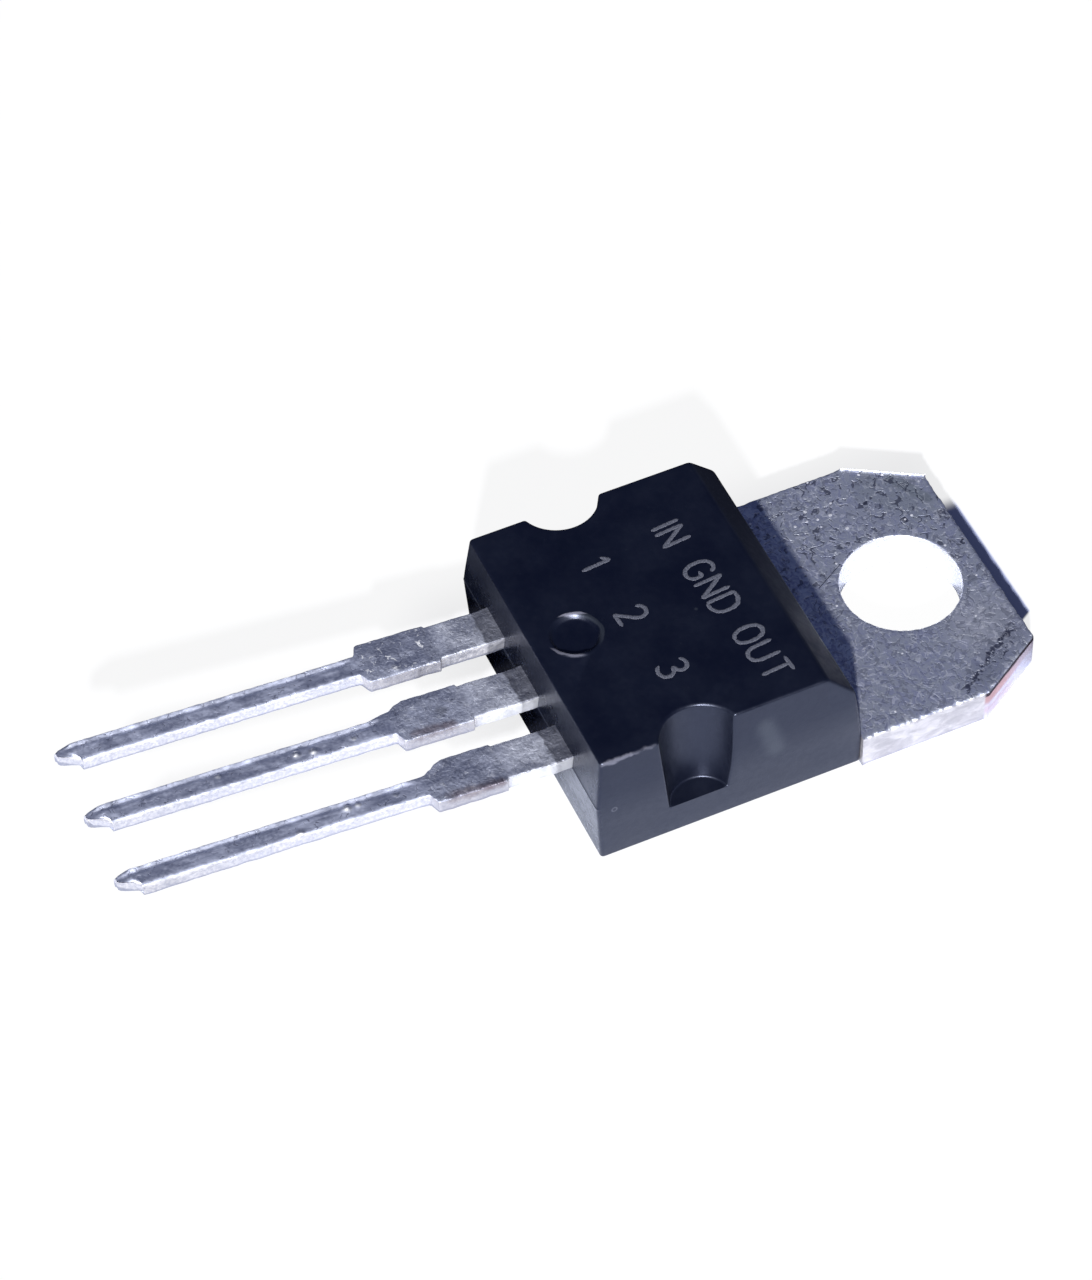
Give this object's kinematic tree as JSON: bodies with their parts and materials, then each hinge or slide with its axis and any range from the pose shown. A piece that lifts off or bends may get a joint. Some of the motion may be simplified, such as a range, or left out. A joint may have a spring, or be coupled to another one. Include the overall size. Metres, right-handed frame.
{
  "type": "voltage regulator",
  "caption": "Through-hole linear voltage regulator: black moulded block with a drilled metal tab at one end and flat tinned leads at the other.",
  "frame": {"origin": "centre of the tab's mounting hole, on the back face", "axes": "+Z out of the marked face, +Y towards the tab's free end, leads along -Y; seen from the marked face with the leads down, input is on the left (-X), ground in the middle and output on the right (+X)"},
  "size_m": [0.0102, 0.0295, 0.0045],
  "materials": {
    "moulding": "matt black epoxy moulding with a fine eroded texture",
    "tinned_copper": "tin-plated copper, satin and slightly mottled",
    "silicon": "polished silicon",
    "solder": "dull soft solder",
    "bond_wire": "bright drawn aluminium wire"
  },
  "bodies": {
    "root": {"moulded_body": "moulding", "heat_tab": "tinned_copper", "input_lead": "tinned_copper", "output_lead": "tinned_copper", "silicon_die": "silicon", "die_solder": "solder", "input_wire": "bond_wire", "output_wire": "bond_wire", "ground_wire": "bond_wire"}
  },
  "joints": []
}
